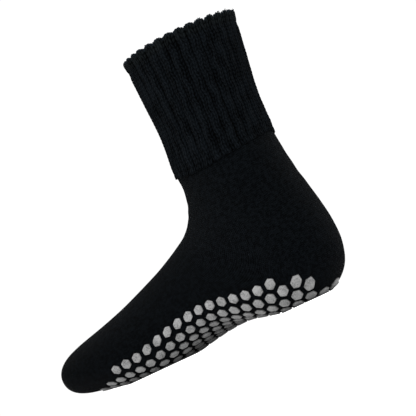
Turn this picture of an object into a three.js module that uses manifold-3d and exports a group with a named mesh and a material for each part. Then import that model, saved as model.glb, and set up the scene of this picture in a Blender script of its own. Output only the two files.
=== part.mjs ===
// A knitted slipper sock for the right foot, standing on its sole as if worn: a plain foot and leg
// knitted whole, a ribbed cuff, and a print of six-sided silicone grips under the foot and up its sides.
// Millimetres. +X points to the toe, +Z up, +Y to the inner side of the foot. The origin is on the
// floor, under the middle of the sock.

import * as THREE from "three";
import { mergeVertices } from "three/addons/utils/BufferGeometryUtils.js";
import Module from "manifold-3d";

// Driving sizes
const footLength = 252; // back of the heel to the tip of the toe, outside
const ballWidth = 96; // across the ball of the foot, outside
const legHeight = 122; // floor to the line where the ribs start
const cuffHeight = 86; // the ribbed cuff, along the leg
const legDepth = 80; // front to back where the ribs start
const legWidth = 67; // side to side where the ribs start
const rimDepth = 87.5; // front to back at the rim
const rimWidth = 76; // side to side at the rim
const wall = 2.4; // plain knit
const ribWall = 2.6; // ribbed knit, without its wave
const ribCount = 32;
const ribRise = 1.6; // from the bottom of a groove to the top of a rib
const rimScallop = 1.5; // how far the ribs stand above the grooves along the rim
const heelReach = 13; // how far the heel stands out behind the leg
const cuffLean = 6; // how far the cuff leans back over its height
const cuffDip = 5; // how far the line between cuff and leg dips at the sides
const archLift = 6.5; // the most that the arch lifts the inner edge of the sole
const floorBlend = 0.5; // softness of the edge of the patches pressed flat by the floor
const seat = 0.3; // clearance between pieces that touch
const gripHeight = 0.9;
const gripSize = 6.7; // across the flats
const gripPitch = 9.8; // from grip to grip along a column
const heelStretch = 0.18; // how much larger and wider apart the grips are on the stretched heel
const gripColumns = 11; // across the sole
const gripStart = 17; // back of the heel to the middle of the first grip
const gripEnd = 28; // least from the middle of the last grip to the tip of the toe
const gripHeelRound = 34; // how far the print's heel end is rounded off
const gripToeRound = 55; // how far its toe end is rounded off

// What follows from them
const soleLevel = gripHeight; // underside of the knit where the sock stands
const gripRoot = 0.6 * wall; // how deep a grip's silicone sits in the knit
const edgeColumn = (gripColumns - 1) / 2;

// Mesh density
const rowsAlong = 24;
const pointsAround = 20;
const pointsPerRib = 3;
const chartStep = 4; // between the slices that the print is laid out on
const chartTurn = 0.01; // between the points of a slice, as a share of a full turn
const sliceSearch = 0.04; // stride in looking for a slice's point, as a share from cuff line to toe

// The sock's sections, from the cuff line down the leg, round the heel and out to the toe. Each is a
// closed outline between a point on the back or sole and one on the front or instep.
// lowX and topX are shares of footLength from the back of the heel, lowZ and topZ shares of legHeight,
// wide and side shares of ballWidth. side moves the section to the inner side. waist is where the
// outline is widest, from its low point to its top, and square how full its lower corners are.
const SECTIONS = [
  { lowX: 0.045, lowZ: 0.877, topX: 0.367, topZ: 0.917, wide: 0.69, side: 0.0, waist: 0.5, square: 2.0 },
  { lowX: 0.036, lowZ: 0.75, topX: 0.374, topZ: 0.842, wide: 0.687, side: 0.0, waist: 0.48, square: 2.0 },
  { lowX: 0.022, lowZ: 0.617, topX: 0.386, topZ: 0.783, wide: 0.692, side: 0.0, waist: 0.46, square: 2.0 },
  { lowX: 0.008, lowZ: 0.483, topX: 0.4, topZ: 0.738, wide: 0.703, side: 0.0, waist: 0.44, square: 2.0 },
  { lowX: 0.0, lowZ: 0.35, topX: 0.415, topZ: 0.704, wide: 0.713, side: 0.0, waist: 0.42, square: 2.05 },
  { lowX: 0.003, lowZ: 0.217, topX: 0.43, topZ: 0.679, wide: 0.719, side: 0.0, waist: 0.4, square: 2.1 },
  { lowX: 0.028, lowZ: 0.092, topX: 0.445, topZ: 0.658, wide: 0.719, side: 0.0, waist: 0.38, square: 2.2 },
  { lowX: 0.079, lowZ: 0.01, topX: 0.462, topZ: 0.64, wide: 0.724, side: 0.0, waist: 0.37, square: 2.3 },
  { lowX: 0.147, lowZ: -0.014, topX: 0.48, topZ: 0.622, wide: 0.734, side: 0.0, waist: 0.36, square: 2.4 },
  { lowX: 0.222, lowZ: -0.011, topX: 0.502, topZ: 0.602, wide: 0.75, side: -0.006, waist: 0.36, square: 2.45 },
  { lowX: 0.302, lowZ: 0.006, topX: 0.532, topZ: 0.577, wide: 0.776, side: -0.016, waist: 0.36, square: 2.45 },
  { lowX: 0.385, lowZ: 0.026, topX: 0.571, topZ: 0.546, wide: 0.818, side: -0.024, waist: 0.36, square: 2.4 },
  { lowX: 0.468, lowZ: 0.024, topX: 0.617, topZ: 0.513, wide: 0.87, side: -0.024, waist: 0.37, square: 2.4 },
  { lowX: 0.548, lowZ: 0.009, topX: 0.667, topZ: 0.477, wide: 0.927, side: -0.014, waist: 0.38, square: 2.45 },
  { lowX: 0.623, lowZ: -0.013, topX: 0.718, topZ: 0.442, wide: 0.979, side: 0.0, waist: 0.4, square: 2.5 },
  { lowX: 0.698, lowZ: -0.017, topX: 0.77, topZ: 0.413, wide: 1.0, side: 0.01, waist: 0.42, square: 2.5 },
  { lowX: 0.77, lowZ: -0.01, topX: 0.821, topZ: 0.383, wide: 0.985, side: 0.018, waist: 0.44, square: 2.45 },
  { lowX: 0.833, lowZ: 0.008, topX: 0.867, topZ: 0.36, wide: 0.94, side: 0.026, waist: 0.46, square: 2.4 },
  { lowX: 0.889, lowZ: 0.024, topX: 0.909, topZ: 0.332, wide: 0.845, side: 0.038, waist: 0.48, square: 2.35 },
  { lowX: 0.937, lowZ: 0.045, topX: 0.947, topZ: 0.302, wide: 0.705, side: 0.052, waist: 0.5, square: 2.3 },
  { lowX: 0.972, lowZ: 0.073, topX: 0.976, topZ: 0.264, wide: 0.515, side: 0.068, waist: 0.5, square: 2.2 },
  { lowX: 0.993, lowZ: 0.113, topX: 0.994, topZ: 0.217, wide: 0.29, side: 0.08, waist: 0.5, square: 2.1 },
];
const TIP = { ofLength: 1.0, ofHeight: 0.165, ofWidth: 0.085 }; // the closed end of the toe, as shares

// The cuff's form, in even steps from the cuff line to the rim. flare is how much of the way from the
// leg's size there to the rim's each step has gone: the ribs draw in before they spread.
const CUFF_FORM = [
  { flare: 0 },
  { flare: -0.27 },
  { flare: 0.33 },
  { flare: 1 },
];

// How far round the sole, from its middle, the outermost column of grips lies. at is a share of
// footLength from the back of the heel, arc a share of ballWidth.
const GRIP_EDGE = [
  { at: 0.05, arc: 0.44 },
  { at: 0.16, arc: 0.48 },
  { at: 0.3, arc: 0.48 },
  { at: 0.45, arc: 0.49 },
  { at: 0.62, arc: 0.54 },
  { at: 0.72, arc: 0.54 },
  { at: 0.8, arc: 0.49 },
  { at: 0.9, arc: 0.4 },
];

const smooth = (x) => THREE.MathUtils.smoothstep(x, 0, 1);
const power = (x, n) => Math.sign(x) * Math.abs(x) ** n;

// Smooth curves through the table's columns, from the cuff line at 0 to the last section at 1.
const curve = (points) => new THREE.CatmullRomCurve3(points, false, "catmullrom", 0.5);
const lowPoint = (s) => new THREE.Vector3(s.lowX * footLength, 0, s.lowZ * legHeight + soleLevel);
const topPoint = (s) => new THREE.Vector3(s.topX * footLength, 0, s.topZ * legHeight + soleLevel);
const lowLine = curve([new THREE.Vector3(heelReach, 0, legHeight), ...SECTIONS.map(lowPoint)]);
const topLine = curve([new THREE.Vector3(heelReach + legDepth, 0, legHeight), ...SECTIONS.map(topPoint)]);
const girth = curve([
  new THREE.Vector3(legWidth, 0, 0),
  ...SECTIONS.map((s) => new THREE.Vector3(s.wide * ballWidth, s.side * ballWidth, 0)),
]);
const fullness = curve([
  new THREE.Vector3(0.5, 2, 0),
  ...SECTIONS.map((s) => new THREE.Vector3(s.waist, s.square, 0)),
]);
const spread = curve(CUFF_FORM.map((s) => new THREE.Vector3(s.flare, 0, 0)));
const tipHeight = TIP.ofHeight * legHeight + soleLevel;
const tip = new THREE.Vector3(TIP.ofLength * footLength, TIP.ofWidth * ballWidth, tipHeight);

// A point of a section's outline. turn runs from 0 at the front or instep through a quarter at the
// inner side, a half at the back or sole and three quarters at the outer side.
function outlinePoint(low, top, width, side, waist, square, turn) {
  const c = Math.cos(turn * 2 * Math.PI);
  const s = Math.sin(turn * 2 * Math.PI);
  const lower = c < 0;
  const n = lower ? 2 / square : 1;
  const up = waist + (lower ? waist : 1 - waist) * power(c, n);
  const point = new THREE.Vector3().lerpVectors(low, top, up);
  point.y = side + (width / 2) * power(s, n);
  return { point, up };
}

// The floor presses the sole flat at soleLevel, with a soft edge.
function pressed(z) {
  const above = z - soleLevel;
  if (above > floorBlend) return z;
  if (above < -floorBlend) return soleLevel;
  return soleLevel + (above + floorBlend) ** 2 / (4 * floorBlend);
}

// A point on the outside of the plain knit. along runs from 0 at the cuff line to 1 at the toe.
function outside(along, turn) {
  const size = girth.getPoint(along);
  const form = fullness.getPoint(along);
  const low = lowLine.getPoint(along);
  const top = topLine.getPoint(along);
  const { point, up } = outlinePoint(low, top, size.x, size.y, form.x, form.y, turn);
  const inner = smooth(point.y / size.x + 0.5);
  const arch = smooth(1 - Math.abs(point.x / footLength - 0.42) / 0.24);
  const underFoot = smooth(1 - up / 0.6) * smooth((along - 0.3) / 0.1);
  point.z += archLift * inner * arch * underFoot;
  point.z -= cuffDip * Math.sin(turn * 2 * Math.PI) ** 2 * (1 - smooth(along / 0.12));
  point.z = pressed(point.z);
  return point;
}

// The outward normal of a surface given by a function of along and turn.
function normalOf(surface, along, turn, step = 0.002) {
  const before = surface(Math.max(along - step, 0), turn);
  const after = surface(Math.min(along + step, 1), turn);
  const round = surface(along, turn + step).sub(surface(along, turn - step));
  return after.sub(before).cross(round).normalize();
}

// The cuff's outside without its ribs. down runs from 0 at the rim to 1 at the cuff line.
function cuffOutside(down, turn) {
  const up = 1 - down;
  const flare = spread.getPoint(up).x;
  const depth = THREE.MathUtils.lerp(legDepth, rimDepth, flare);
  const width = THREE.MathUtils.lerp(legWidth, rimWidth, flare);
  const back = heelReach - up * cuffLean - (depth - legDepth) / 2;
  const height = legHeight + seat + up * (cuffHeight - seat);
  const low = new THREE.Vector3(back, 0, height);
  const top = new THREE.Vector3(back + depth, 0, height);
  const { point } = outlinePoint(low, top, width, 0, 0.5, 2, turn);
  point.z -= cuffDip * Math.sin(turn * 2 * Math.PI) ** 2 * down ** 2;
  return point;
}

// 0 in a groove and 1 on a rib, round at the top and narrow at the bottom.
const ribWave = (turn) => Math.abs(Math.sin(turn * ribCount * Math.PI)) ** 0.7;

function geometryOf(points, faces) {
  const geometry = new THREE.BufferGeometry().setFromPoints(points);
  geometry.setIndex(faces);
  return geometry;
}

// Joins two grids of points, the outside and the inside of one wall, into a closed geometry. The far
// end is an open rim, unless ends gives the outer and inner point that close it.
function wallGeometry(outer, inner, ends) {
  const rows = outer.length;
  const count = outer[0].length;
  const out = (r, c) => r * count + (c % count);
  const into = (r, c) => rows * count + out(r, c);
  const faces = [];
  const quad = (a, b, c, d) => faces.push(a, b, c, a, c, d);
  for (let c = 0; c < count; c++) {
    for (let r = 0; r + 1 < rows; r++) {
      quad(out(r, c), out(r + 1, c), out(r + 1, c + 1), out(r, c + 1));
      quad(into(r, c), into(r, c + 1), into(r + 1, c + 1), into(r + 1, c));
    }
    quad(out(0, c), out(0, c + 1), into(0, c + 1), into(0, c));
    const last = rows - 1;
    if (ends) {
      faces.push(out(last, c), 2 * rows * count, out(last, c + 1));
      faces.push(into(last, c), into(last, c + 1), 2 * rows * count + 1);
    } else {
      quad(out(last, c), into(last, c), into(last, c + 1), out(last, c + 1));
    }
  }
  return geometryOf([...outer.flat(), ...inner.flat(), ...(ends ?? [])], faces);
}

// The plain foot and leg: one wall, open at the cuff line and closed at the toe.
function footGeometry() {
  const turns = Array.from({ length: pointsAround }, (_, c) => c / pointsAround);
  const outer = [];
  const inner = [];
  for (let r = 0; r < rowsAlong; r++) {
    const along = r / (rowsAlong - 1);
    const lining = (turn) => outside(along, turn).addScaledVector(normalOf(outside, along, turn), -wall);
    outer.push(turns.map((turn) => outside(along, turn)));
    inner.push(turns.map(lining));
  }
  inner[0].forEach((point, c) => point.setZ(outer[0][c].z));
  return wallGeometry(outer, inner, [tip, tip.clone().setX(tip.x - wall)]);
}

// The ribbed cuff: its wall waves in and out, and its rim is scalloped by the ribs.
function cuffGeometry() {
  const around = ribCount * pointsPerRib;
  const turns = Array.from({ length: around }, (_, c) => c / around);
  const outer = [];
  const inner = [];
  for (let r = 0; r < CUFF_FORM.length; r++) {
    const down = r / (CUFF_FORM.length - 1);
    const rise = r === 0 ? rimScallop : 0;
    const ringPoint = (turn, depth) => {
      const out = normalOf(cuffOutside, down, turn).setZ(0).normalize();
      const point = cuffOutside(down, turn).addScaledVector(out, ribRise * ribWave(turn) - depth);
      return point.setZ(point.z + rise * ribWave(turn));
    };
    outer.push(turns.map((turn) => ringPoint(turn, 0)));
    inner.push(turns.map((turn) => ringPoint(turn, ribWall)));
  }
  return wallGeometry(outer, inner);
}

// A slice across the underside of the foot at one distance x from the back of the heel: points from
// the middle of the sole up one side, each with its distance round from the middle.
function slice(x, side) {
  const found = [];
  for (let lean = 0; lean <= 0.35; lean += chartTurn) {
    const turn = 0.5 - side * lean;
    let far = 1;
    let near = far - sliceSearch;
    while (near > 0 && outside(near, turn).x > x) {
      far = near;
      near -= sliceSearch;
    }
    if (near <= 0) break;
    for (let halving = 0; halving < 16; halving++) {
      const middle = (near + far) / 2;
      if (outside(middle, turn).x < x) near = middle;
      else far = middle;
    }
    const point = outside(near, turn);
    const last = found.at(-1);
    const arc = last ? last.arc + point.distanceTo(last.point) : 0;
    found.push({ arc, point, normal: normalOf(outside, near, turn) });
  }
  return found;
}

// Slices from one end of the print to the other, which turn a place on the flat print into a place
// on the curved sole.
const chartFrom = gripStart - 2 * chartStep;
const chartCount = Math.ceil((footLength - gripEnd - chartFrom) / chartStep) + 3;
const chart = [1, -1].map((side) =>
  Array.from({ length: chartCount }, (_, k) => slice(chartFrom + k * chartStep, side)),
);

function onSlice(found, arc, lift) {
  const k = THREE.MathUtils.clamp(found.findIndex((f) => f.arc > arc), 1, found.length - 1);
  const [a, b] = [found[k - 1], found[k]];
  const share = (arc - a.arc) / (b.arc - a.arc);
  const normal = a.normal.clone().lerp(b.normal, share).normalize();
  return a.point.clone().lerp(b.point, share).addScaledVector(normal, lift);
}

// The point of the sole at a distance from the back of the heel and a distance round from the
// middle, towards the inner side where that is positive, raised outwards by lift.
function onSole(x, round, lift) {
  const slices = chart[round < 0 ? 1 : 0];
  const place = (x - chartFrom) / chartStep;
  const k = THREE.MathUtils.clamp(Math.floor(place), 0, chartCount - 2);
  const near = onSlice(slices[k], Math.abs(round), lift);
  return near.lerp(onSlice(slices[k + 1], Math.abs(round), lift), place - k);
}

function gripEdge(x) {
  const share = THREE.MathUtils.clamp(x / footLength, GRIP_EDGE[0].at, GRIP_EDGE.at(-1).at);
  const k = Math.max(1, GRIP_EDGE.findIndex((e) => e.at >= share));
  const [a, b] = [GRIP_EDGE[k - 1], GRIP_EDGE[k]];
  return ballWidth * THREE.MathUtils.mapLinear(share, a.at, b.at, a.arc, b.arc);
}

// How much the worn heel stretches the print at a distance from its back.
const stretchAt = (x) => 1 + heelStretch * (1 - smooth((x - gripStart) / (0.25 * footLength)));

// One grip: a low six-sided block that follows the sole, with a flat towards its neighbours in line.
function gripGeometry(x, column) {
  const round = (column / edgeColumn) * gripEdge(x);
  const radius = (stretchAt(x) * gripSize) / Math.sqrt(3);
  const plan = Array.from({ length: 6 }, (_, k) => {
    const angle = ((k + 0.5) * Math.PI) / 3;
    return [x + radius * Math.cos(angle), round + radius * Math.sin(angle)];
  });
  const ring = (lift) => plan.map(([px, pr]) => onSole(px, pr, lift));
  const points = [...ring(-gripRoot), ...ring(gripHeight)];
  const faces = [];
  for (let k = 1; k < 5; k++) {
    faces.push(0, k, k + 1, 6, 7 + k, 6 + k);
  }
  for (let k = 0; k < 6; k++) {
    const next = (k + 1) % 6;
    faces.push(k, next + 6, next, k, k + 6, next + 6);
  }
  return geometryOf(points, faces);
}

// How far a column's ends are drawn in, as a share of the print's rounding.
const drawnIn = (column) => 1 - Math.sqrt(1 - (column / (edgeColumn + 0.4)) ** 2);

// The middle of every grip: columns of rows, every second column half a row further on.
function gripPlaces() {
  const rows = [gripStart];
  while (rows.at(-1) < footLength - gripEnd) rows.push(rows.at(-1) + gripPitch * stretchAt(rows.at(-1)));
  const places = [];
  for (let column = -edgeColumn; column <= edgeColumn; column++) {
    const start = gripStart + gripHeelRound * drawnIn(column);
    const end = footLength - gripEnd - gripToeRound * drawnIn(column);
    for (let row = 0; row + 1 < rows.length; row++) {
      const x = column % 2 ? (rows[row] + rows[row + 1]) / 2 : rows[row];
      if (x >= start && x <= end) places.push({ x, column });
    }
  }
  return places;
}

const wasm = await Module();
wasm.setup();

function toSolid(geometry) {
  const merged = mergeVertices(geometry);
  const vertProperties = new Float32Array(merged.attributes.position.array);
  const triVerts = new Uint32Array(merged.index.array);
  return new wasm.Manifold(new wasm.Mesh({ numProp: 3, vertProperties, triVerts }));
}

function fromSolid(solid) {
  const mesh = solid.getMesh();
  const geometry = new THREE.BufferGeometry();
  geometry.setAttribute("position", new THREE.BufferAttribute(mesh.vertProperties, 3));
  geometry.setIndex(new THREE.BufferAttribute(mesh.triVerts, 1));
  return geometry;
}

// The foot with its print: the silicone is cured into the knit, so they are one solid.
function printedFoot() {
  const grips = gripPlaces().map(({ x, column }) => toSolid(gripGeometry(x, column)));
  const print = grips.reduce((all, grip) => all.add(grip));
  return fromSolid(toSolid(footGeometry()).add(print));
}

const knit = new THREE.MeshStandardMaterial({ color: 0x0c0d10, roughness: 0.95, metalness: 0 });
const ribbed = new THREE.MeshStandardMaterial({ color: 0x0f1013, roughness: 0.95, metalness: 0 });

const sock = new THREE.Group();
function add(name, geometry, material) {
  geometry.computeVertexNormals();
  const mesh = new THREE.Mesh(geometry, material);
  mesh.name = name;
  sock.add(mesh);
}
add("knit_foot", printedFoot(), knit);
add("rib_cuff", cuffGeometry(), ribbed);

const box = new THREE.Box3().setFromObject(sock);
const middle = box.getCenter(new THREE.Vector3());
sock.position.set(-middle.x, -middle.y, -box.min.z);

export default sock;
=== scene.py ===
# A black knitted slipper sock for the right foot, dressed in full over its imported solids: the plain knit
# foot and leg, the ribbed cuff and the print of silicone grips. Metres, +X to the toe, +Y to the inner
# side of the foot, +Z up.

import math

import bmesh
import bpy
import numpy as np
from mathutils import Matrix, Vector


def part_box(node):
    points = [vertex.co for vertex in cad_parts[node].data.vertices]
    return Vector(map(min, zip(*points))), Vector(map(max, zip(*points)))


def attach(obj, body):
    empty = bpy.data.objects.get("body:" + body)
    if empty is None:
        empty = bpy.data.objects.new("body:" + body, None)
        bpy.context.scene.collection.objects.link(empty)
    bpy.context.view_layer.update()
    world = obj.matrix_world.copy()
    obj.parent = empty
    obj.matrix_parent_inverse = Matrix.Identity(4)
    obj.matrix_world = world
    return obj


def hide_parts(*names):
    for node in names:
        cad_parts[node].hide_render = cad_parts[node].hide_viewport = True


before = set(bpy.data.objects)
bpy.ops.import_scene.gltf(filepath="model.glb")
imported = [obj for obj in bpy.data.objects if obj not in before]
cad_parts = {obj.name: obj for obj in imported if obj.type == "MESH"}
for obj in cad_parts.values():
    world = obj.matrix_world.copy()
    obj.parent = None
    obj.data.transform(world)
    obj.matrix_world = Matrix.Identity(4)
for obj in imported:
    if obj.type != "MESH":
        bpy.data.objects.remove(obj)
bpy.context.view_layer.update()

# Sizes of the sock, as in the part. Only the scallops of the rim are deeper here, because the yarn ends
# in rounder beads than the solid.
FOOT_LENGTH = 0.252
BALL_WIDTH = 0.096
LEG_HEIGHT = 0.122
LEG_DEPTH = 0.080
LEG_WIDTH = 0.067
CUFF_HEIGHT = 0.086
RIM_DEPTH = 0.0875
RIM_WIDTH = 0.076
WALL = 0.0024
RIB_WALL = 0.0026
RIB_COUNT = 32
RIB_RISE = 0.0016  # how far a rib stands out from the grooves beside it
RIM_SCALLOP = 0.0022  # how far it stands above them along the rim
HEEL_REACH = 0.013  # how far the heel's back lies behind the leg's at the cuff line
CUFF_LEAN = 0.006  # how far the rim lies back from the cuff line
CUFF_DIP = 0.005  # how much lower the cuff line is at the sides
ARCH_LIFT = 0.0065
ARCH_PLACE = 0.42  # middle of the arch and how far it runs each way, as shares of the foot's length
ARCH_REACH = 0.24
ARCH_TOP = 0.6  # the share of a section's height at which the arch's lift has faded out
ARCH_FROM = 0.3  # place along the foot where the lift begins, and how softly
ARCH_EASE = 0.1
DIP_END = 0.12  # place along the foot where the dip of the cuff line has faded out
FLOOR_BLEND = 0.0005  # softness of the change to the sole that the floor presses flat
SEAT = 0.0003  # gap between the foot's top edge and the cuff
GRIP_HEIGHT = 0.0009
GRIP_SIZE = 0.0067  # across the flats
GRIP_PITCH = 0.0098  # from one grip to the next of its column
GRIP_COLUMNS = 11
GRIP_START = 0.017  # from the heel's back to the first row of grips, and from the last to the toe's tip
GRIP_END = 0.028
GRIP_HEEL_ROUND = 0.034  # how far the print's round ends reach along the sock, at the heel and at the toe
GRIP_TOE_ROUND = 0.055
HEEL_STRETCH = 0.18
HEEL_END = 0.25  # where that stretch has faded out, as a share of the foot's length past the first grip
EDGE_EASE = 0.4  # how much wider than its columns the print's round ends are, in columns on each side
SOLE_LEVEL = GRIP_HEIGHT

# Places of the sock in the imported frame: the toe's tip and the floor are fixed points of both, and the
# middle line of the heel lies beside the middle of the solid's box.
BOX_ASIDE = 0.00093
TOE_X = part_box("knit_foot")[1][0]
HEEL_X = TOE_X - FOOT_LENGTH
SHIFT_Y = (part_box("knit_foot")[0][1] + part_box("knit_foot")[1][1]) / 2 - BOX_ASIDE

# Knit gauge
WALES = 4 * RIB_COUNT  # columns of stitches round the foot
COURSE = 0.0014  # height of a stitch of the foot
RIB_WALES = 2 * RIB_COUNT  # the cuff's yarn is doubled: two columns of large stitches to a rib
RIB_COURSE = 0.0028
STITCH_RELIEF = 0.0004  # how far a stitch of the cuff stands out
STITCH_SLANT = 0.7  # how far the arms of a stitch's V rise, in stitches
ARM_ROUNDNESS = 0.7  # how full a stitch is across its arms, where 1 is a plain sine and less is fuller
LOOP_ROUNDNESS = 0.6  # the same along its column
BLACK = (0.74, 1.0, 1.28)  # the yarn's black is a little cool

# Sections from the cuff line to the toe, as shares: the back or sole point and the front or instep
# point of FOOT_LENGTH and LEG_HEIGHT, width and side shift of BALL_WIDTH, height of the widest place
# and fullness of the lower corners. The tops of the last six rows are up to 3 mm higher than the
# solid's, after the photo's rounded toe.
SECTIONS = [
    (0.045, 0.877, 0.367, 0.917, 0.69, 0.0, 0.5, 2.0),
    (0.036, 0.75, 0.374, 0.842, 0.687, 0.0, 0.48, 2.0),
    (0.022, 0.617, 0.386, 0.783, 0.692, 0.0, 0.46, 2.0),
    (0.008, 0.483, 0.4, 0.738, 0.703, 0.0, 0.44, 2.0),
    (0.0, 0.35, 0.415, 0.704, 0.713, 0.0, 0.42, 2.05),
    (0.003, 0.217, 0.43, 0.679, 0.719, 0.0, 0.4, 2.1),
    (0.028, 0.092, 0.445, 0.658, 0.719, 0.0, 0.38, 2.2),
    (0.079, 0.01, 0.462, 0.64, 0.724, 0.0, 0.37, 2.3),
    (0.147, -0.014, 0.48, 0.622, 0.734, 0.0, 0.36, 2.4),
    (0.222, -0.011, 0.502, 0.602, 0.75, -0.006, 0.36, 2.45),
    (0.302, 0.006, 0.532, 0.577, 0.776, -0.016, 0.36, 2.45),
    (0.385, 0.026, 0.571, 0.546, 0.818, -0.024, 0.36, 2.4),
    (0.468, 0.024, 0.617, 0.513, 0.87, -0.024, 0.37, 2.4),
    (0.548, 0.009, 0.667, 0.477, 0.927, -0.014, 0.38, 2.45),
    (0.623, -0.013, 0.718, 0.442, 0.979, 0.0, 0.4, 2.5),
    (0.698, -0.017, 0.77, 0.413, 1.0, 0.01, 0.42, 2.5),
    (0.77, -0.01, 0.821, 0.388, 0.985, 0.018, 0.44, 2.45),
    (0.833, 0.008, 0.867, 0.368, 0.94, 0.026, 0.46, 2.4),
    (0.889, 0.024, 0.909, 0.348, 0.85, 0.038, 0.48, 2.35),
    (0.937, 0.042, 0.947, 0.323, 0.72, 0.052, 0.5, 2.3),
    (0.972, 0.068, 0.976, 0.288, 0.52, 0.068, 0.5, 2.2),
    (0.993, 0.11, 0.994, 0.235, 0.262, 0.08, 0.5, 2.1),
]
TIP = np.array([1.0, 0.085, 0.165])  # the toe's closed end: x, side and height in the same shares
# The toe's closed end is the rest of a quarter ellipse, from this angle on, so that it carries on smoothly.
TOE_START = math.radians(30)
TOE_RINGS = 8

# The cuff's form in even steps from the cuff line to the rim: how much of the way from the leg's size
# to the rim's each has gone.
CUFF_FORM = np.array([(0.0,), (-0.27,), (0.33,), (1.0,)])

# How far round the sole the outermost column of grips lies: place along the foot, and arc
GRIP_EDGE = np.array([
    (0.05, 0.44),
    (0.16, 0.48),
    (0.3, 0.48),
    (0.45, 0.49),
    (0.62, 0.54),
    (0.72, 0.54),
    (0.8, 0.49),
    (0.9, 0.4),
])


def smooth(x):
    """A soft step: 0 up to x = 0 and 1 from x = 1 on."""
    t = np.clip(x, 0, 1)
    return t * t * (3 - 2 * t)


def power(x, n):
    """The nth power of x's size, with the sign of x."""
    return np.sign(x) * np.abs(x) ** n


def section_rows():
    """The table in metres, with the row of the cuff line before it."""
    scale = np.array([FOOT_LENGTH, LEG_HEIGHT, FOOT_LENGTH, LEG_HEIGHT, BALL_WIDTH, BALL_WIDTH, 1, 1])
    rows = np.array(SECTIONS) * scale
    rows[:, [1, 3]] += SOLE_LEVEL
    cuff_line = [HEEL_REACH, LEG_HEIGHT, HEEL_REACH + LEG_DEPTH, LEG_HEIGHT, LEG_WIDTH, 0, 0.5, 2]
    return np.vstack([cuff_line, rows])


ROWS = section_rows()


def spline(rows, at):
    """A smooth curve through the rows, at from 0 at the first to 1 at the last."""
    count = len(rows) - 1
    place = np.clip(at, 0, 1) * count
    k = np.minimum(place.astype(int), count - 1)
    t = (place - k)[..., None]
    wide = np.vstack([2 * rows[0] - rows[1], rows, 2 * rows[-1] - rows[-2]])
    before, here, there, after = (wide[k + step] for step in range(4))
    leave = (there - before) / 2
    arrive = (after - here) / 2
    return (
        (2 * t**3 - 3 * t**2 + 1) * here
        + (t**3 - 2 * t**2 + t) * leave
        + (3 * t**2 - 2 * t**3) * there
        + (t**3 - t**2) * arrive
    )


def foot_point(along, turn):
    """The outside of the plain knit: along from 0 at the cuff line to 1 at the toe, turn from 0 at the
    instep through a quarter at the inner side to a half at the sole."""
    along, turn = np.broadcast_arrays(np.asarray(along, float), np.asarray(turn, float))
    low_x, low_z, top_x, top_z, wide, side, waist, square = np.moveaxis(spline(ROWS, along), -1, 0)
    c = np.cos(turn * 2 * np.pi)
    s = np.sin(turn * 2 * np.pi)
    lower = c < 0
    n = np.where(lower, 2 / square, 1)
    up = waist + np.where(lower, waist, 1 - waist) * power(c, n)
    x = low_x + (top_x - low_x) * up
    y = side + wide / 2 * power(s, n)
    z = low_z + (top_z - low_z) * up
    inner = smooth(y / wide + 0.5)
    arch = smooth(1 - np.abs(x / FOOT_LENGTH - ARCH_PLACE) / ARCH_REACH)
    under_foot = smooth(1 - up / ARCH_TOP) * smooth((along - ARCH_FROM) / ARCH_EASE)
    z = z + ARCH_LIFT * inner * arch * under_foot
    z = z - CUFF_DIP * s**2 * (1 - smooth(along / DIP_END))
    above = z - SOLE_LEVEL
    soft = SOLE_LEVEL + (above + FLOOR_BLEND) ** 2 / (4 * FLOOR_BLEND)
    z = np.where(above > FLOOR_BLEND, z, np.where(above < -FLOOR_BLEND, SOLE_LEVEL, soft))
    return np.stack([x, y, z], axis=-1)


def normal_of(surface, along, turn, step=0.002):
    """Outward normals of a surface given by a function of along and turn."""
    lengthwise = surface(np.minimum(along + step, 1), turn) - surface(np.maximum(along - step, 0), turn)
    round_it = surface(along, turn + step) - surface(along, turn - step)
    normal = np.cross(lengthwise, round_it)
    return normal / np.linalg.norm(normal, axis=-1, keepdims=True)


def cuff_point(down, turn):
    """The cuff's outside without its ribs: down from 0 at the rim to 1 at the cuff line."""
    down, turn = np.broadcast_arrays(np.asarray(down, float), np.asarray(turn, float))
    up = 1 - down
    flare = spline(CUFF_FORM, up)[..., 0]
    depth = LEG_DEPTH + flare * (RIM_DEPTH - LEG_DEPTH)
    width = LEG_WIDTH + flare * (RIM_WIDTH - LEG_WIDTH)
    back = HEEL_REACH - up * CUFF_LEAN - (depth - LEG_DEPTH) / 2
    c = np.cos(turn * 2 * np.pi)
    s = np.sin(turn * 2 * np.pi)
    x = back + depth * (0.5 + 0.5 * c)
    y = width / 2 * s
    z = LEG_HEIGHT + SEAT + up * (CUFF_HEIGHT - SEAT) - CUFF_DIP * s**2 * down**2
    return np.stack([x, y, z], axis=-1)


def to_frame(points):
    """From the sock's own place, back of the heel at 0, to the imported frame."""
    return points + np.array([HEEL_X, SHIFT_Y, 0])


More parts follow.
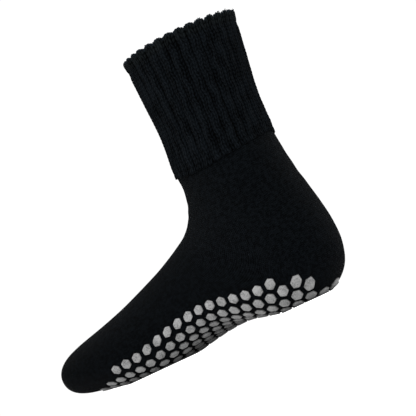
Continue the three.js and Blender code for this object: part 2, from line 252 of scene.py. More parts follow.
def make_object(name, points, faces, uvs, material):
    """A mesh object. faces is a list of arrays with a row of corners for each face, and uvs one of
    arrays with a pair for each of those corners. Points that fall together are joined."""
    sizes = np.concatenate([np.full(len(part), part.shape[1]) for part in faces])
    corners = np.concatenate([part.ravel() for part in faces])
    mesh = bpy.data.meshes.new(name)
    mesh.vertices.add(len(points))
    mesh.vertices.foreach_set("co", to_frame(points).astype(np.float32).ravel())
    mesh.loops.add(len(corners))
    mesh.loops.foreach_set("vertex_index", corners.astype(np.int32))
    mesh.polygons.add(len(sizes))
    mesh.polygons.foreach_set("loop_start", (np.cumsum(sizes) - sizes).astype(np.int32))
    mesh.polygons.foreach_set("use_smooth", np.ones(len(sizes), bool))
    layer = mesh.uv_layers.new(name="UVMap")
    pairs = np.concatenate([part.reshape(-1, 2) for part in uvs])
    layer.data.foreach_set("uv", pairs.astype(np.float32).ravel())
    mesh.update(calc_edges=True)
    joined = bmesh.new()
    joined.from_mesh(mesh)
    bmesh.ops.remove_doubles(joined, verts=joined.verts, dist=1e-6)
    joined.to_mesh(mesh)
    joined.free()
    mesh.materials.append(material)
    made = bpy.data.objects.new(name, mesh)
    bpy.context.scene.collection.objects.link(made)
    return made


def loop_mesh(rings, u, v, drop=()):
    """Quads between rings of points, and from the last ring back to the first, with a pair of texture
    coordinates for each corner. u has a value for each column and one more, v one for each point. drop
    lists the rings that aren't joined to the next."""
    rows, count = len(rings), len(rings[0])
    r, c = np.meshgrid(np.setdiff1d(np.arange(rows), drop), np.arange(count), indexing="ij")
    below, after = (r + 1) % rows, (c + 1) % count
    corners = ((r, c, c), (below, c, c), (below, after, c + 1), (r, after, c + 1))
    faces = np.stack([row * count + column for row, column, _ in corners], -1)
    pairs = np.stack([np.stack([u[place], v[row, column]], -1) for row, column, place in corners], -2)
    return np.concatenate(rings), faces.reshape(-1, 4), pairs.reshape(-1, 4, 2)


def stitches_along(rings, course):
    """The distance along each column of points from the first ring, in stitches."""
    steps = np.linalg.norm(np.diff(np.array(rings), axis=0), axis=2)
    return np.vstack([np.zeros(len(rings[0])), np.cumsum(steps, axis=0)]) / course


class Graph:
    """A material whose nodes are wired by short calls."""

    def __init__(self, name):
        self.material = bpy.data.materials.new(name)
        self.material.use_nodes = True
        self.nodes = self.material.node_tree.nodes
        self.links = self.material.node_tree.links
        self.shader = self.nodes["Principled BSDF"]

    def put(self, socket, value):
        if isinstance(value, bpy.types.NodeSocket):
            self.links.new(value, socket)
        else:
            socket.default_value = value

    def math(self, operation, *values):
        node = self.nodes.new("ShaderNodeMath")
        node.operation = operation
        for socket, value in zip(node.inputs, values):
            self.put(socket, value)
        return node.outputs[0]

    def noise(self, vector, scale, detail=2.0, roughness=0.5):
        node = self.nodes.new("ShaderNodeTexNoise")
        self.put(node.inputs["Vector"], vector)
        node.inputs["Scale"].default_value = scale
        node.inputs["Detail"].default_value = detail
        node.inputs["Roughness"].default_value = roughness
        return node.outputs[0]

    def ramp(self, value, *stops, tint=(1, 1, 1)):
        """stops are (place, grey) pairs."""
        node = self.nodes.new("ShaderNodeValToRGB")
        self.put(node.inputs[0], value)
        marks = node.color_ramp.elements
        while len(marks) < len(stops):
            marks.new(0.5)
        for mark, (place, grey) in zip(marks, stops):
            mark.position = place
            mark.color = (*(grey * share for share in tint), 1)
        return node.outputs[0]

    def between(self, value, low, high):
        """0 below low, 1 above high and a soft step from one to the other."""
        node = self.nodes.new("ShaderNodeMapRange")
        node.interpolation_type = "SMOOTHSTEP"
        self.put(node.inputs["Value"], value)
        node.inputs["From Min"].default_value = low
        node.inputs["From Max"].default_value = high
        return node.outputs[0]

    def tint(self, colour, amount, factor):
        """colour times amount, where factor is 1."""
        node = self.nodes.new("ShaderNodeMix")
        node.data_type = "RGBA"
        node.blend_type = "MULTIPLY"
        self.put(node.inputs["Factor"], factor)
        self.put(node.inputs["A"], colour)
        node.inputs["B"].default_value = (*amount, 1)
        return node.outputs["Result"]

    def bump(self, height, distance, strength=1.0, under=None):
        node = self.nodes.new("ShaderNodeBump")
        node.inputs["Strength"].default_value = strength
        node.inputs["Distance"].default_value = distance
        self.put(node.inputs["Height"], height)
        if under is not None:
            self.put(node.inputs["Normal"], under)
        return node.outputs[0]

    def place(self):
        return self.nodes.new("ShaderNodeTexCoord").outputs["Object"]

    def uv(self):
        split = self.nodes.new("ShaderNodeSeparateXYZ")
        self.links.new(self.nodes.new("ShaderNodeTexCoord").outputs["UV"], split.inputs[0])
        return split.outputs[0], split.outputs[1]

    def flat(self, x, y):
        join = self.nodes.new("ShaderNodeCombineXYZ")
        self.put(join.inputs[0], x)
        self.put(join.inputs[1], y)
        return join.outputs[0]


def stitches(graph, u, v):
    """Height of a plain knit face from places in stitches: each column is a chain of V shapes."""
    across = graph.math("ABSOLUTE", graph.math("SUBTRACT", graph.math("FRACT", u), 0.5))
    arm = graph.math("MULTIPLY", across, 2.0)
    hump = graph.math("POWER", graph.math("SINE", graph.math("MULTIPLY", arm, math.pi)), ARM_ROUNDNESS)
    slanted = graph.math("ADD", v, graph.math("MULTIPLY", arm, STITCH_SLANT))
    loop = graph.math("ABSOLUTE", graph.math("SINE", graph.math("MULTIPLY", slanted, math.pi)))
    return graph.math("MULTIPLY", hump, graph.math("POWER", loop, LOOP_ROUNDNESS))


# The yarn's tone is the sum of three parts: its stitches, its patches and its fuzz.
STITCH_TONE = 0.45
PATCH_TONE = 0.3
FUZZ_TONE = 0.2
DARK_TONE = 0.22  # the tones that come out as its darkest and its lightest grey
LIGHT_TONE = 0.75
PATCH_SCALE = 430  # waves to a metre, as is the next
FUZZ_SCALE = 2400
FUZZ_DEPTH = 0.0003


def yarn(graph, height, dark, light, depth, streak=None):
    """Wires black yarn into the shader and returns its colour, between the greys dark and light. height
    is the relief of its stitches and depth how deep that is. The tone varies in small patches, or else
    by the noise given as streak."""
    fuzz = graph.noise(graph.place(), FUZZ_SCALE, detail=3, roughness=0.6)
    if streak is None:
        streak = graph.noise(graph.place(), PATCH_SCALE, detail=3, roughness=0.6)
    patches = graph.between(streak, low=0.36, high=0.64)
    tone = graph.math("MULTIPLY", height, STITCH_TONE)
    tone = graph.math("ADD", tone, graph.math("MULTIPLY", patches, PATCH_TONE))
    tone = graph.math("ADD", tone, graph.math("MULTIPLY", fuzz, FUZZ_TONE))
    bumped = graph.bump(height, depth, strength=0.9)
    bumped = graph.bump(fuzz, FUZZ_DEPTH, strength=0.7, under=bumped)
    graph.put(graph.shader.inputs["Normal"], bumped)
    graph.shader.inputs["Roughness"].default_value = 1.0
    graph.shader.inputs["Specular IOR Level"].default_value = 0.01
    graph.shader.inputs["Sheen Weight"].default_value = 0.006
    graph.shader.inputs["Sheen Roughness"].default_value = 0.4
    return graph.ramp(tone, (DARK_TONE, dark), (LIGHT_TONE, light), tint=BLACK)


def plain_knit():
    """Matt black knit in fine columns of stitches."""
    graph = Graph("knit")
    u, v = graph.uv()
    colour = yarn(graph, stitches(graph, u, v), dark=0.0002, light=0.0032, depth=0.0005)
    graph.put(graph.shader.inputs["Base Color"], colour)
    return graph.material


STREAK_SHAPE = 0.16  # the cuff's streaks run along its ribs: their width as a share of their length
# painted shade: how much darker the grooves between the ribs are made
GROOVE_SHADE_TINT = (0.66, 0.66, 0.66)
RIM_TINT = (1.5, 1.4, 1.2)
RIM_LIGHTER_FROM = 0.7  # the rows of stitches, from the rim, between which the lighter tone fades out
RIM_LIGHTER_TO = 2.4


def ribbed_knit():
    """The same yarn in ribs: it is streaked, painted shade darkens their grooves, and it is lighter and
    warmer towards the rim.
    """
    graph = Graph("rib_knit")
    u, v = graph.uv()
    stretched = graph.flat(u, graph.math("MULTIPLY", v, STREAK_SHAPE))
    streak = graph.noise(stretched, scale=1.1, detail=3, roughness=0.6)
    colour = yarn(graph, stitches(graph, u, v), dark=0.0002, light=0.0040, depth=0.0006, streak=streak)
    rib = graph.math("FRACT", graph.math("DIVIDE", u, RIB_WALES / RIB_COUNT))
    off_middle = graph.math("ABSOLUTE", graph.math("SUBTRACT", rib, 0.5))
    # painted shade in the grooves: darker where each rib turns in towards the next
    colour = graph.tint(colour, GROOVE_SHADE_TINT, graph.between(off_middle, low=0.3, high=0.48))
    # lighter and warmer towards the rim
    towards_rim = graph.math("SUBTRACT", 1.0, graph.between(v, RIM_LIGHTER_FROM, RIM_LIGHTER_TO))
    graph.put(graph.shader.inputs["Base Color"], graph.tint(colour, RIM_TINT, towards_rim))
    return graph.material


def edge_yarn():
    """The loose yarn of the cast-off edge, a little lighter than the ribs."""
    graph = Graph("edge_yarn")
    fibres = graph.noise(graph.place(), scale=1300, detail=3, roughness=0.6)
    colour = yarn(graph, fibres, dark=0.003, light=0.014, depth=0.0004)
    graph.put(graph.shader.inputs["Base Color"], colour)
    return graph.material


SPECK_TONE = 0.7  # how much of the silicone's mottling is fine specks, the rest being wider clouds
GRIP_SIDE_TINT = (0.55, 0.55, 0.55)  # darker towards a grip's rounded edge


def printed_silicone():
    """Mid grey silicone with fine specks, a satin face and darker edges."""
    graph = Graph("grip_silicone")
    place = graph.place()
    speck = graph.noise(place, scale=1500, detail=2, roughness=0.6)
    cloud = graph.noise(place, scale=180, detail=2, roughness=0.5)
    specks = graph.math("MULTIPLY", speck, SPECK_TONE)
    tone = graph.math("ADD", specks, graph.math("MULTIPLY", cloud, 1 - SPECK_TONE))
    colour = graph.ramp(tone, (0.37, 0.05), (0.47, 0.125), (0.6, 0.19))
    from_middle, _ = graph.uv()
    colour = graph.tint(colour, GRIP_SIDE_TINT, graph.between(from_middle, low=0.9, high=1.02))
    graph.put(graph.shader.inputs["Base Color"], colour)
    graph.put(graph.shader.inputs["Normal"], graph.bump(speck, 0.0002, strength=0.5))
    graph.shader.inputs["Roughness"].default_value = 0.5
    graph.shader.inputs["Specular IOR Level"].default_value = 0.3
    return graph.material


knit = plain_knit()
rib_knit = ribbed_knit()
rim_yarn = edge_yarn()
silicone = printed_silicone()

# The plain foot and leg

FOOT_COLUMNS = 220
FOOT_RINGS = 240
LINING_RINGS = 70
EDGE_RINGS = 4  # over its rounded top edge
FIRST_RING = 0.002  # place along the foot of the first ring below that edge
EDGE_SAG = 0.12  # how far the edge is rounded off, as a share of the wall

# Soft folds where leg and foot meet: place along, middle and half length round, width, and depth
FOLDS = [
    (0.115, 0.02, 0.16, 0.024, 0.0002),
    (0.165, -0.03, 0.14, 0.022, 0.0002),
    (0.060, 0.47, 0.13, 0.020, 0.0002),
    (0.105, 0.53, 0.12, 0.020, 0.0002),
]


def foot_lift(along, turn):
    """How far the worn knit stands off its plain form: each fold is a soft trough between low ridges."""
    lift = np.zeros(np.broadcast(along, turn).shape)
    for at, middle, length, width, depth in FOLDS:
        lengthwise = (along - at) / width
        nearest = (turn - middle + 0.5) % 1 - 0.5
        around = np.clip(1 - (nearest / length) ** 2, 0, 1)
        lift = lift - depth * around * (1 - 2 * lengthwise**2) * np.exp(-(lengthwise**2))
    return lift


def foot_ring(along, turns, inset):
    """A ring of the knit wall at one place along it, inset from its outside."""
    lift = foot_lift(along, turns) - inset
    return foot_point(along, turns) + normal_of(foot_point, along, turns) * lift[:, None]


def toe_rings(turns, inset):
    """Rings that close the toe, from its last section to its tip."""
    last = foot_ring(1.0, turns, inset)
    end = TIP * [FOOT_LENGTH, BALL_WIDTH, LEG_HEIGHT] + [-inset, 0, SOLE_LEVEL]
    rings = []
    for angle in np.linspace(TOE_START, math.pi / 2, TOE_RINGS + 1)[1:]:
        back = (1 - math.sin(angle)) / (1 - math.sin(TOE_START))
        aside = math.cos(angle) / math.cos(TOE_START)
        rings.append(end + (last - end) * [back, aside, aside])
    return rings


def make_foot():
    """One wall: over its rounded top edge, down its outside to the toe and back up its lining."""
    turns = np.arange(FOOT_COLUMNS) / FOOT_COLUMNS
    rings = []
    for angle in math.pi * (np.arange(EDGE_RINGS) + 0.5) / EDGE_RINGS:
        ring = foot_ring(0.0, turns, WALL / 2 * (1 + math.cos(angle)))
        ring[:, 2] -= WALL * EDGE_SAG * (1 - math.sin(angle))
        rings.append(ring)
    rings += [foot_ring(along, turns, 0.0) for along in np.linspace(FIRST_RING, 1, FOOT_RINGS)]
    rings += toe_rings(turns, 0.0)
    outer_tip = len(rings) - 1
    rings += toe_rings(turns, WALL)[::-1]
    rings += [foot_ring(along, turns, WALL) for along in np.linspace(1, FIRST_RING, LINING_RINGS)]
    around = np.arange(FOOT_COLUMNS + 1) / FOOT_COLUMNS * WALES
    points, faces, uvs = loop_mesh(rings, around, stitches_along(rings, COURSE), drop=[outer_tip])
    return make_object("knit_foot_skin", points, [faces], [uvs], knit)


# The ribbed cuff

UP = np.array([0.0, 0.0, 1.0])
CUFF_SEED = 7
rng = np.random.default_rng(CUFF_SEED)
SWAY_START = rng.uniform(0, 2 * math.pi, RIB_COUNT)  # where each rib starts its slow sway
RIB_FULLNESS = rng.uniform(0.8, 1.15, RIB_COUNT)  # how far it stands out, as a share of RIB_RISE
SWAY = 0.0006  # how far a rib sways sideways, and the height of one of its waves
SWAY_LENGTH = 0.013
RIB_ROUNDNESS = 0.6  # how full a rib is, where 1 is a plain sine and less is fuller
RIB_COLUMNS = 16  # columns of points to a rib
RIM_RINGS = 5  # over the domed rim
CUFF_RINGS = 140
CUFF_LINING_RINGS = 30
HEM_REACH = 0.0006  # how far the cuff's lower edge stands out over the foot
HEM_DROP = 0.001  # how far it hangs over the foot's top edge
HEM_EASE = 0.005  # height over which it comes to both
HEM_FLATTENING = 0.55  # how much flatter the ribs are at the hem, and the height over which they rise
HEM_FLAT_HEIGHT = 0.007
HEM_CLEARANCE = 0.0004  # between the hem's inner side and the foot, and how far it is rounded below
RIM_EASE = 0.007  # height under the rim over which the ribs take on its shape
RIM_SPREAD = 0.0003  # how far the wall spreads there, and how much fuller its ribs are
RIM_ROUND = 0.0011  # how far the rim is domed over the wall
BEAD_NECK = 0.0055  # how far under the rim each rib is drawn in, below the bead that it ends in
NECK_HEIGHT = 0.0022
NECK_DEPTH = 0.0006

# The lower edge hangs unevenly, by two waves: their number round it, where each starts as an angle, and
# how far each goes up and down.
HEM_WAVES = [
    (5, 1, 0.0004),
    (11, 2, 0.0003),
]


def hem_drop(turn):
    """How far the cuff's lower edge hangs over the foot at each place round it."""
    drop = HEM_DROP
    for number, start, height in HEM_WAVES:
        drop = drop + height * np.sin(number * (turn * 2 * math.pi) + start)
    return drop


def stitch_height(u, v):
    """The same chain of V shapes as the shader's, for the shape of the large stitches."""
    arm = 2 * np.abs(u % 1 - 0.5)
    loop = np.abs(np.sin((v + STITCH_SLANT * arm) * math.pi))
    return np.sin(arm * math.pi) ** ARM_ROUNDNESS * loop**LOOP_ROUNDNESS


def level_out(down, turns):
    """The level way out of the cuff at each place round it."""
    out = normal_of(cuff_point, down, turns) * [1, 1, 0]
    return out / np.linalg.norm(out, axis=1, keepdims=True)


def cuff_ring(down, turns, inset, lip=1.0):
    """A ring of the cuff wall: down from 0 at the rim to 1 at the hem, inset from its outside. lip is
    how much of the hem's overhang it has."""
    rib = np.floor(turns * RIB_COUNT).astype(int)
    wave = np.abs(np.sin(turns * RIB_COUNT * math.pi)) ** RIB_ROUNDNESS
    height = (1 - down) * CUFF_HEIGHT
    near_hem = 1 - smooth(height / HEM_FLAT_HEIGHT)
    at_hem = 1 - smooth(height / HEM_EASE)
    near_rim = 1 - smooth((CUFF_HEIGHT - height) / RIM_EASE)
    off_neck = (CUFF_HEIGHT - height - BEAD_NECK) / NECK_HEIGHT
    sway = SWAY * np.sin(height / SWAY_LENGTH * 2 * math.pi + SWAY_START[rib]) * wave
    rise = RIB_RISE * wave * RIB_FULLNESS[rib] * (1 - HEM_FLATTENING * near_hem)
    if inset == 0:
        rise += STITCH_RELIEF * (stitch_height(turns * RIB_WALES, down * CUFF_HEIGHT / RIB_COURSE) - 0.5)
    rise += (RIM_SPREAD * near_rim - NECK_DEPTH * np.exp(-off_neck**2)) * wave
    lift = rise + RIM_SPREAD * near_rim + HEM_REACH * at_hem * lip - inset
    out = level_out(down, turns)
    sideways = np.stack([-out[:, 1], out[:, 0], np.zeros(len(turns))], -1)
    ring = cuff_point(down, turns) + out * lift[:, None] + sideways * sway[:, None]
    ring[:, 2] += RIM_SCALLOP * wave * near_rim - hem_drop(turns) * at_hem * lip
    return ring


def make_cuff():
    """One wall: over its domed rim, down its outside, round the hem and back up its lining."""
    count = RIB_COUNT * RIB_COLUMNS
    turns = np.arange(count) / count
    outer_top = cuff_ring(0.0, turns, 0.0)
    inner_top = cuff_ring(0.0, turns, RIB_WALL)
    over_rim = math.pi * np.arange(1, RIM_RINGS + 1) / (RIM_RINGS + 1)
    rings = []
    for angle in over_rim:
        across = inner_top + (outer_top - inner_top) * (1 - math.cos(angle)) / 2
        rings.append(across + RIM_ROUND * math.sin(angle) * UP)
    outer = np.linspace(0, 1, CUFF_RINGS)
    rings += [cuff_ring(down, turns, 0.0) for down in outer]
    hem = rings[-1]
    clear = cuff_point(1.0, turns) + HEM_CLEARANCE * level_out(1.0, turns)
    rings.append((hem + clear) / 2 * [1, 1, 0] + (hem[:, 2:] - HEM_CLEARANCE) * UP)
    rings.append(clear * [1, 1, 0] + (hem[:, 2:] + HEM_CLEARANCE / 2) * UP)
    rings.append(clear)
    inner = np.linspace(1, 0, CUFF_LINING_RINGS)
    rings += [cuff_ring(down, turns, RIB_WALL, lip=0.0) for down in inner]
    stitches_down = CUFF_HEIGHT / RIB_COURSE
    rows = [*(over_rim / math.pi - 1), *(outer * stitches_down)]
    rows += [stitches_down + 0.5] * 3  # the rings round the hem
    rows += [*((2 - inner) * stitches_down + 1)]
    around = np.arange(count + 1) / count * RIB_WALES
    points, faces, uvs = loop_mesh(rings, around, np.repeat(np.array(rows)[:, None], count, axis=1))
    return make_object("rib_cuff_knit", points, [faces], [uvs], rib_knit)


NO_STRAND = [0.31, 0.17, 0.93]  # a direction that no strand follows, from which their sections are turned


def tubes(paths, sides, radius, name, material):
    """A mesh of round tubes. paths is an array of closed paths, each of points."""
    ahead = np.roll(paths, -1, axis=1) - np.roll(paths, 1, axis=1)
    ahead /= np.linalg.norm(ahead, axis=2, keepdims=True)
    across = np.cross(ahead, NO_STRAND)
    across /= np.linalg.norm(across, axis=2, keepdims=True)
    above = np.cross(ahead, across)
    angle = (np.arange(sides) / sides * 2 * math.pi)[:, None]
    rings = np.cos(angle) * across[:, :, None] + np.sin(angle) * above[:, :, None]
    rings = paths[:, :, None] - radius * rings
    count, length = paths.shape[:2]
    _, faces, uvs = loop_mesh(list(rings[0]), np.arange(sides + 1) / sides, np.zeros((length, sides)))
    first = np.arange(count)[:, None, None] * length * sides
    faces = (first + faces).reshape(-1, 4)
    return make_object(name, rings.reshape(-1, 3), [faces], [np.tile(uvs, (count, 1, 1))], material)


def rim_line(turns):
    """The middle of the rim and the way out from it."""
    outer = cuff_ring(0.0, turns, 0.0)
    inner = cuff_ring(0.0, turns, RIB_WALL)
    out = outer - inner
    out /= np.linalg.norm(out, axis=1, keepdims=True)
    return (outer + inner) / 2, out


STRAND_RADIUS = 0.0006
STRAND_WIND = 0.0007  # how far each strand winds from their common middle
STRAND_LIFT = 0.0008  # how high that middle lies over the rim's
STRAND_POINTS = 10  # to a stitch
STRAND_SIDES = 7


def make_edge():
    """Two strands wound round each other along the rim, with a bump for each stitch."""
    turns = np.arange(WALES * STRAND_POINTS) / (WALES * STRAND_POINTS)
    middle, out = rim_line(turns)
    paths = []
    for strand in (0, math.pi):
        wind = (turns * WALES * math.pi + strand)[:, None]
        above = STRAND_LIFT + STRAND_WIND * np.sin(wind)
        paths.append(middle + STRAND_WIND * np.cos(wind) * out + above * UP)
    return tubes(np.array(paths), STRAND_SIDES, STRAND_RADIUS, "rib_cuff_edge", rim_yarn)


LOOP_COUNT = 2 * WALES
LOOP_POINTS = 12
LOOP_SIDES = 4
LOOP_STRAY = 0.4  # how far a loop may stray from its even place, as a share of the way to the next
LOOP_LEAN = 0.9  # the most that a loop leans out or in, and the most that it is turned, as angles
LOOP_TWIST = 0.8
LOOP_SIZE = (0.0003, 0.0008)  # half the height of the smallest and of the largest
LOOP_PLACE = (-0.0008, 0.0011)  # how far in and how far out on the rim they stand, and how high
LOOP_LIFT = 0.0009
LOOP_NARROWNESS = 0.7  # width of a loop as a share of its height
FIBRE_RADIUS = 0.00016


def make_fuzz():
    """Small loose loops that stand off the rim."""
    turns = (np.arange(LOOP_COUNT) + rng.uniform(-LOOP_STRAY, LOOP_STRAY, LOOP_COUNT)) / LOOP_COUNT
    middle, out = rim_line(turns)
    along = np.cross(UP, out)
    lean = rng.uniform(-LOOP_LEAN, LOOP_LEAN, (LOOP_COUNT, 1))
    twist = rng.uniform(-LOOP_TWIST, LOOP_TWIST, (LOOP_COUNT, 1))
    size = rng.uniform(*LOOP_SIZE, (LOOP_COUNT, 1, 1))
    up = UP * np.cos(lean) + out * np.sin(lean)
    wide = along * np.cos(twist) + out * np.sin(twist)
    angle = (np.arange(LOOP_POINTS) / LOOP_POINTS * 2 * math.pi)[:, None]
    loops = np.cos(angle) * wide[:, None] * LOOP_NARROWNESS + (1 + np.sin(angle)) * up[:, None]
    base = middle + out * rng.uniform(*LOOP_PLACE, (LOOP_COUNT, 1)) + LOOP_LIFT * UP
    return tubes(base[:, None] + size * loops, LOOP_SIDES, FIBRE_RADIUS, "rib_cuff_fuzz", rim_yarn)


# The grips

# The print is laid out on slices across the sole, from two steps before the first grip to past the last.
CHART_STEP = 0.004
CHART_FROM = GRIP_START - 2 * CHART_STEP
CHART_COUNT = math.ceil((FOOT_LENGTH - GRIP_END - CHART_FROM) / CHART_STEP) + 3
CHART_TURN = 0.01  # between a slice's points, and how far round they reach, as shares of a full turn
CHART_REACH = 0.35
SEARCH_STEP = 0.04  # stride in looking for them, as a share of the way from the cuff line to the toe
HALVINGS = 18


def slices(side):
    """Slices across the sole at even steps from the heel: for each, the distances round from the
    middle, the points and their normals."""
    turns = 0.5 - side * np.arange(0, CHART_REACH, CHART_TURN)
    stops = 1 - SEARCH_STEP * np.arange(round(1 / SEARCH_STEP))
    x_of = foot_point(stops[:, None], turns[None, :])[..., 0]
    made = []
    for x in CHART_FROM + CHART_STEP * np.arange(CHART_COUNT):
        below = x_of <= x
        found = below.any(axis=0)
        near = stops[below.argmax(axis=0)]
        far = np.minimum(near + SEARCH_STEP, 1)
        for _ in range(HALVINGS):
            middle = (near + far) / 2
            low = foot_point(middle, turns)[:, 0] < x
            near = np.where(low, middle, near)
            far = np.where(low, far, middle)
        last = len(turns) if found.all() else max(2, int(found.argmin()))
        points = foot_point(near, turns)[:last]
        normals = normal_of(foot_point, near, turns)[:last]
        arcs = np.concatenate([[0], np.cumsum(np.linalg.norm(np.diff(points, axis=0), axis=1))])
        made.append((arcs, points, normals))
    return made


CHART = {1: slices(1), -1: slices(-1)}


def on_sole(x, round_by, lift):
    """Points of the sole from distances along and round it, raised outwards by lift."""
    x, round_by, lift = np.broadcast_arrays(x, round_by, lift)
    shape = x.shape
    x, round_by, lift = x.ravel(), round_by.ravel(), lift.ravel()
    place = (x - CHART_FROM) / CHART_STEP
    station = np.clip(place.astype(int), 0, CHART_COUNT - 2)
    share = (place - station)[:, None]
    points = np.zeros((len(x), 3))
    for side in (1, -1):
        on_side = (round_by >= 0) if side > 0 else (round_by < 0)
        for k in np.unique(station[on_side]):
            pick = on_side & (station == k)
            ends = []
            for arcs, spots, normals in (CHART[side][k], CHART[side][k + 1]):
                arc = np.abs(round_by[pick])
                spot = np.stack([np.interp(arc, arcs, spots[:, i]) for i in range(3)], -1)
                normal = np.stack([np.interp(arc, arcs, normals[:, i]) for i in range(3)], -1)
                normal /= np.linalg.norm(normal, axis=1, keepdims=True)
                ends.append(spot + normal * lift[pick][:, None])
            points[pick] = ends[0] + (ends[1] - ends[0]) * share[pick]
    return points.reshape(*shape, 3)


def stretch_at(x):
    """How much the worn heel stretches the print."""
    return 1 + HEEL_STRETCH * (1 - smooth((x - GRIP_START) / (HEEL_END * FOOT_LENGTH)))


def grip_places():
    """Where every grip's middle lies, along and round: every second column is half a row further on."""
    edge_column = (GRIP_COLUMNS - 1) // 2
    rows = [GRIP_START]
    while rows[-1] < FOOT_LENGTH - GRIP_END:
        rows.append(rows[-1] + GRIP_PITCH * float(stretch_at(rows[-1])))
    places = []
    for column in range(-edge_column, edge_column + 1):
        drawn_in = 1 - math.sqrt(1 - (column / (edge_column + EDGE_EASE)) ** 2)
        start = GRIP_START + GRIP_HEEL_ROUND * drawn_in
        end = FOOT_LENGTH - GRIP_END - GRIP_TOE_ROUND * drawn_in
        for row, after in zip(rows, rows[1:]):
            x = (row + after) / 2 if column % 2 else row
            if start <= x <= end:
                arc = BALL_WIDTH * np.interp(x / FOOT_LENGTH, GRIP_EDGE[:, 0], GRIP_EDGE[:, 1])
                places.append((x, column / edge_column * arc))
    return np.array(places)


GRIP_POINTS = 4  # to a side of a grip
GRIP_ROUNDING = 0.2  # how far its outline goes from a sharp hexagon towards a circle
GRIP_CIRCLE = 1.06  # radius of that circle, where a flat side's distance from the middle is 1
GRIP_UNEVENNESS = 0.03  # how much larger or smaller than usual a grip may be
GRIP_SEED = 11


def hexagon():
    """Points round a six-sided outline of radius 1 with rounded corners, a flat side towards +X."""
    angles = np.arange(6 * GRIP_POINTS) / (6 * GRIP_POINTS) * 2 * math.pi
    flat = math.cos(math.pi / 6)
    sharp = flat / np.cos(angles % (math.pi / 3) - math.pi / 6)
    radius = sharp * (1 - GRIP_ROUNDING) + GRIP_ROUNDING * flat * GRIP_CIRCLE
    angles = angles + math.pi / 6
    return np.stack([np.cos(angles), np.sin(angles)], -1) * radius[:, None]


# Rings of one grip, from its root in the knit up its rounded edge to its face: share of the radius, lift
GRIP_RINGS = np.array([(1.03, -0.3), (1.02, 0.25), (0.985, 0.7), (0.93, 0.93), (0.84, 1.0), (0.45, 1.0)])


def make_grips():
    """All grips as one mesh: each is a stack of rings that follow the sole, closed by a face."""
    outline = hexagon()
    middles = grip_places()
    draw = np.random.default_rng(GRIP_SEED)
    unevenness = draw.uniform(1 - GRIP_UNEVENNESS, 1 + GRIP_UNEVENNESS, len(middles))
    radius = stretch_at(middles[:, 0]) * GRIP_SIZE / math.sqrt(3) * unevenness
    plan = GRIP_RINGS[:, 0, None, None] * outline
    plan = middles[:, None, None] + radius[:, None, None, None] * plan
    points = on_sole(plan[..., 0], plan[..., 1], GRIP_RINGS[:, 1, None] * GRIP_HEIGHT)
    grips, rings, count = points.shape[:3]
    first = np.arange(grips)[:, None, None] * rings * count
    r, c = np.meshgrid(np.arange(rings - 1), np.arange(count), indexing="ij")
    after = (c + 1) % count
    sides = [r * count + c, (r + 1) * count + c, (r + 1) * count + after, r * count + after]
    sides = (first[..., None] + np.stack(sides, -1)).reshape(-1, 4)
    caps = first[:, 0] + (rings - 1) * count + np.arange(count)[::-1]
    share = GRIP_RINGS[:, 0]
    side_shares = np.stack([share[r], share[r + 1], share[r + 1], share[r]], -1)
    side_shares = np.broadcast_to(side_shares, (grips, rings - 1, count, 4)).reshape(-1, 4)
    cap_shares = np.full(caps.shape, share[-1])
    uvs = [np.stack([shares, 0 * shares], -1) for shares in (side_shares, cap_shares)]
    return make_object("silicone_grips", points.reshape(-1, 3), [sides, caps], uvs, silicone)


foot = make_foot()
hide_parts("knit_foot")
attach(foot, "root")

cuff = make_cuff()
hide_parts("rib_cuff")
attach(cuff, "root")

for trim in (make_edge(), make_fuzz()):
    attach(trim, "root")

grips = make_grips()
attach(grips, "root")


# Floor, light and camera

FLOOR_REACH = 6.0


def make_floor():
    """A plain white studio floor that glows a little, so that it blends into the background."""
    mesh = bpy.data.meshes.new("floor")
    corners = [(x * FLOOR_REACH, y * FLOOR_REACH, 0) for x, y in ((-1, -1), (1, -1), (1, 1), (-1, 1))]
    mesh.from_pydata(corners, [], [(0, 1, 2, 3)])
    graph = Graph("floor")
    graph.shader.inputs["Base Color"].default_value = (0.96, 0.96, 0.96, 1)
    graph.shader.inputs["Roughness"].default_value = 0.8
    graph.shader.inputs["Emission Color"].default_value = (1, 1, 1, 1)
    graph.shader.inputs["Emission Strength"].default_value = 0.1
    mesh.materials.append(graph.material)
    floor = bpy.data.objects.new("floor", mesh)
    bpy.context.scene.collection.objects.link(floor)


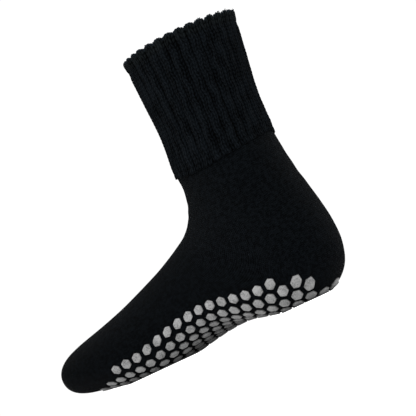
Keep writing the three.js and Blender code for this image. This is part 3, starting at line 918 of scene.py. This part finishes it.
def aim(thing, spot):
    """Turns a light or a camera towards a spot."""
    way = Vector(spot) - thing.location
    thing.rotation_euler = way.to_track_quat("-Z", "Y").to_euler()


LIGHT_SPOT = (0, 0, 0.1)  # where the lights point
WORLD_STRENGTH = 1.05


def add_light(name, place, size, watts):
    data = bpy.data.lights.new(name, "AREA")
    data.shape = "DISK"
    data.size = size
    data.energy = watts
    made = bpy.data.objects.new(name, data)
    made.location = place
    bpy.context.scene.collection.objects.link(made)
    aim(made, LIGHT_SPOT)


def make_light():
    world = bpy.data.worlds.new("studio")
    world.use_nodes = True
    world.node_tree.nodes["Background"].inputs["Color"].default_value = (1, 1, 1, 1)
    world.node_tree.nodes["Background"].inputs["Strength"].default_value = WORLD_STRENGTH
    bpy.context.scene.world = world
    add_light("key", (-0.7, 1.0, 1.1), size=0.7, watts=22)
    add_light("fill", (0.9, 0.9, 0.7), size=0.9, watts=10)
    add_light("back", (-0.4, -1.1, 1.0), size=0.7, watts=14)


# The photo's view: from the heel's inner side, just above the floor, with the sock leaning in the picture
VIEW_AZIMUTH = 210.0  # degrees, as is the roll
VIEW_HEIGHT = 0.003  # over the floor
VIEW_DISTANCE = 1.3
VIEW_ROLL = 25.0
AIM = (-0.0346, -0.0130, 0.0933)
LENS = 153.0  # millimetres, as is the sensor
SENSOR = 36
NEAREST = 0.01  # what lies nearer to the camera isn't drawn


def make_camera():
    data = bpy.data.cameras.new("camera")
    data.sensor_width = SENSOR
    data.lens = LENS
    data.clip_start = NEAREST
    camera = bpy.data.objects.new("camera", data)
    turn = math.radians(VIEW_AZIMUTH)
    camera.location = (
        AIM[0] + VIEW_DISTANCE * math.sin(turn),
        AIM[1] - VIEW_DISTANCE * math.cos(turn),
        VIEW_HEIGHT,
    )
    aim(camera, AIM)
    camera.rotation_euler.rotate_axis("Z", math.radians(-VIEW_ROLL))
    bpy.context.scene.collection.objects.link(camera)
    bpy.context.scene.camera = camera


make_floor()
make_light()
make_camera()
bpy.context.scene.view_settings.view_transform = "Standard"
